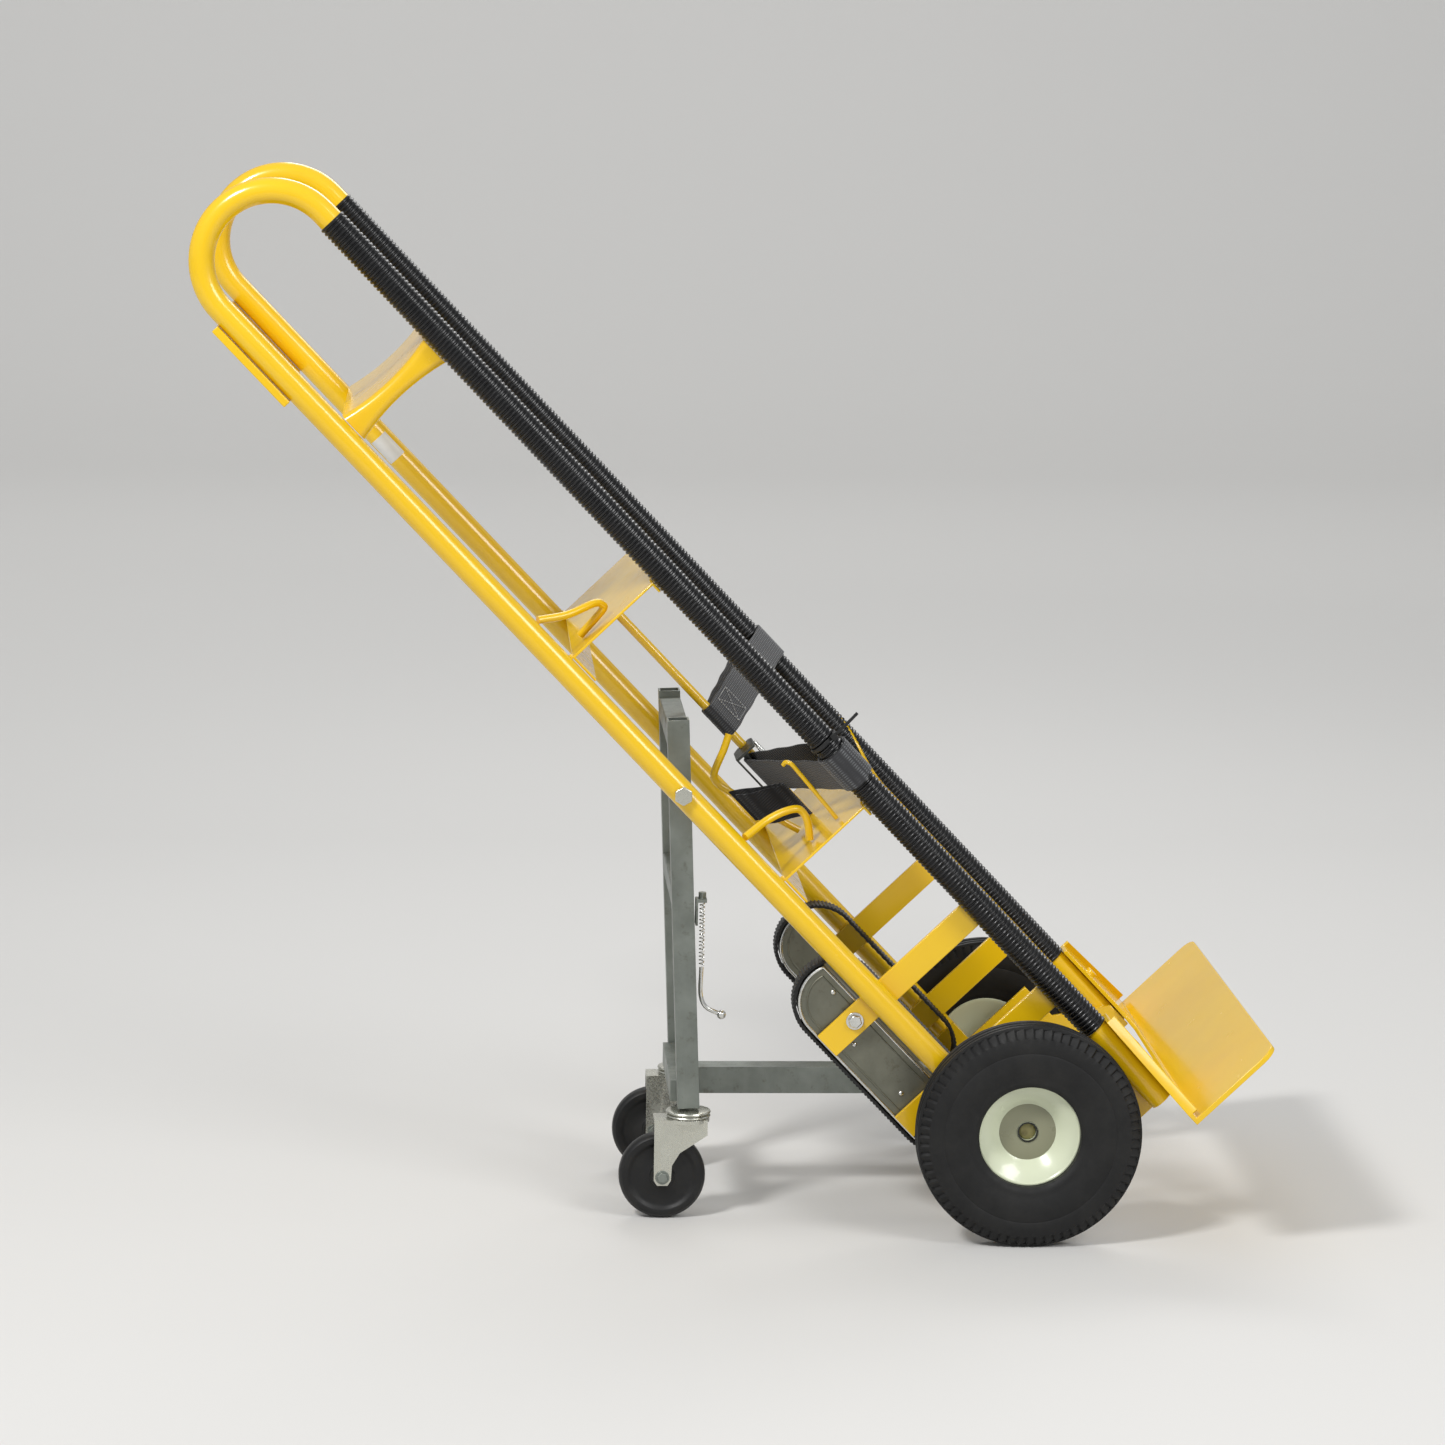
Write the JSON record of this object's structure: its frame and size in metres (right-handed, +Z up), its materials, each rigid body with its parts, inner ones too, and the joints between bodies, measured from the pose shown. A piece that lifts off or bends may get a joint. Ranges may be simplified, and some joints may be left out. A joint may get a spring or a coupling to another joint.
{
  "type": "stair climbing hand truck",
  "caption": "Tall tipped-back hand truck with loop handles, belt stair climbers, large wheels, a toe plate and a fold-down stand on swivel casters.",
  "frame": {"origin": "on the floor, at the middle of the footprint", "axes": "+X towards the toe plate, +Y to the truck's left along the wheel axle, +Z up; the truck stands tipped back on its casters"},
  "size_m": [1.2288, 0.61, 1.2069],
  "materials": {
    "yellow_paint": "glossy enamel over steel, lightly worn",
    "sleeve_black": "ribbed split conduit, glossy on the rib crests",
    "tyre_rubber": "matt ribbed rubber",
    "cream_paint": "smooth cream enamel",
    "zinc_steel": "dull grey-green zinc plate",
    "skid_steel": "dull grey-brown plated sheet with a bright rubbed rim",
    "belt_rubber": "matt black toothed belt",
    "bright_steel": "bright plated steel",
    "caster_rubber": "hard black wheel",
    "grey_webbing": "coarse woven strap webbing",
    "dark_webbing": "dark woven strap webbing",
    "axle_steel": "olive-yellow passivated bar end",
    "dark_steel": "dark plated stamped steel",
    "black_plastic": "nylon"
  },
  "bodies": {
    "chassis": {"right_front_rail": "yellow_paint", "right_rear_rail": "yellow_paint", "right_handle_loop": "yellow_paint", "right_axle_bracket": "yellow_paint", "right_upper_climber_bar": "yellow_paint", "right_lower_climber_bar": "yellow_paint", "right_sleeve": "sleeve_black", "right_axle_collar": "zinc_steel", "right_pivot_spacer": "zinc_steel", "right_climber_skid": "skid_steel", "right_climber_belt": "belt_rubber", "right_climber_bolt": "bright_steel", "right_strap": "grey_webbing", "left_front_rail": "yellow_paint", "left_rear_rail": "yellow_paint", "left_handle_loop": "yellow_paint", "left_axle_bracket": "yellow_paint", "left_upper_climber_bar": "yellow_paint", "left_lower_climber_bar": "yellow_paint", "left_sleeve": "sleeve_black", "left_axle_collar": "zinc_steel", "left_pivot_spacer": "zinc_steel", "left_climber_skid": "skid_steel", "left_climber_belt": "belt_rubber", "left_climber_bolt": "bright_steel", "left_strap": "grey_webbing", "top_cross_member": "yellow_paint", "middle_cross_member": "yellow_paint", "lower_cross_member": "yellow_paint", "upper_rear_plate": "yellow_paint", "tie_rod": "yellow_paint", "strap_guide_rod": "yellow_paint", "lower_guide_rod": "yellow_paint", "strap_hook": "yellow_paint", "strap_keeper": "yellow_paint", "toe_plate": "yellow_paint", "axle": "axle_steel", "pivot_rod": "zinc_steel", "buckle_frame": "dark_steel", "strap_tail": "dark_webbing", "cable_tie": "black_plastic"},
    "right_wheel": {"right_tyre": "tyre_rubber", "right_rim": "cream_paint"},
    "left_wheel": {"left_tyre": "tyre_rubber", "left_rim": "cream_paint"},
    "stand": {"right_stand_leg": "zinc_steel", "left_stand_leg": "zinc_steel", "stand_top_tube": "zinc_steel", "stand_middle_tube": "zinc_steel", "right_caster_plate": "zinc_steel", "left_caster_plate": "zinc_steel", "latch_bracket": "zinc_steel", "latch_spring": "zinc_steel"},
    "brace": {"brace": "zinc_steel"},
    "right_caster_swivel": {"right_caster_fork": "zinc_steel"},
    "left_caster_swivel": {"left_caster_fork": "zinc_steel"},
    "right_caster_roller": {"right_caster_wheel": "caster_rubber"},
    "left_caster_roller": {"left_caster_wheel": "caster_rubber"},
    "foot_release": {"foot_lever": "bright_steel"},
    "strap_buckle_cam": {"buckle_cam": "bright_steel"}
  },
  "joints": [
    {"name": "right_wheel_turn", "type": "hinge", "parent": "chassis", "child": "right_wheel", "pos_m": [0.34254, -0.235, 0.13], "axis": [0, 1, 0], "continuous": true},
    {"name": "left_wheel_turn", "type": "hinge", "parent": "chassis", "child": "left_wheel", "pos_m": [0.34254, 0.235, 0.13], "axis": [0, 1, 0], "continuous": true},
    {"name": "stand_fold", "type": "hinge", "parent": "chassis", "child": "stand", "pos_m": [-0.05675, 0, 0.51604], "axis": [0, -1, 0], "range_deg": [0, 34.5]},
    {"name": "brace_lift", "type": "hinge", "parent": "chassis", "child": "brace", "pos_m": [0.34254, 0, 0.13], "axis": [0, 1, 0], "range_deg": [0, 34]},
    {"name": "right_caster_swivel_turn", "type": "hinge", "parent": "stand", "child": "right_caster_swivel", "pos_m": [-0.04146, -0.112, 0.118], "axis": [0, 0, 1], "continuous": true},
    {"name": "left_caster_swivel_turn", "type": "hinge", "parent": "stand", "child": "left_caster_swivel", "pos_m": [-0.04146, 0.112, 0.118], "axis": [0, 0, 1], "continuous": true},
    {"name": "right_caster_roll", "type": "hinge", "parent": "right_caster_swivel", "child": "right_caster_roller", "pos_m": [-0.07146, -0.112, 0.0508], "axis": [0, 1, 0], "continuous": true},
    {"name": "left_caster_roll", "type": "hinge", "parent": "left_caster_swivel", "child": "left_caster_roller", "pos_m": [-0.07146, 0.112, 0.0508], "axis": [0, 1, 0], "continuous": true},
    {"name": "foot_release_press", "type": "slide", "parent": "stand", "child": "foot_release", "axis": [0, 0, -1], "range_m": [0, 0.01], "stiffness_N_per_m": 600, "deforming": ["latch_spring"]},
    {"name": "buckle_cam_open", "type": "hinge", "parent": "chassis", "child": "strap_buckle_cam", "pos_m": [0.0531, -0.01, 0.52718], "axis": [-0.6921, 0, 0.7218], "range_deg": [0, 80], "stiffness_Nm_per_rad": 0.05}
  ]
}
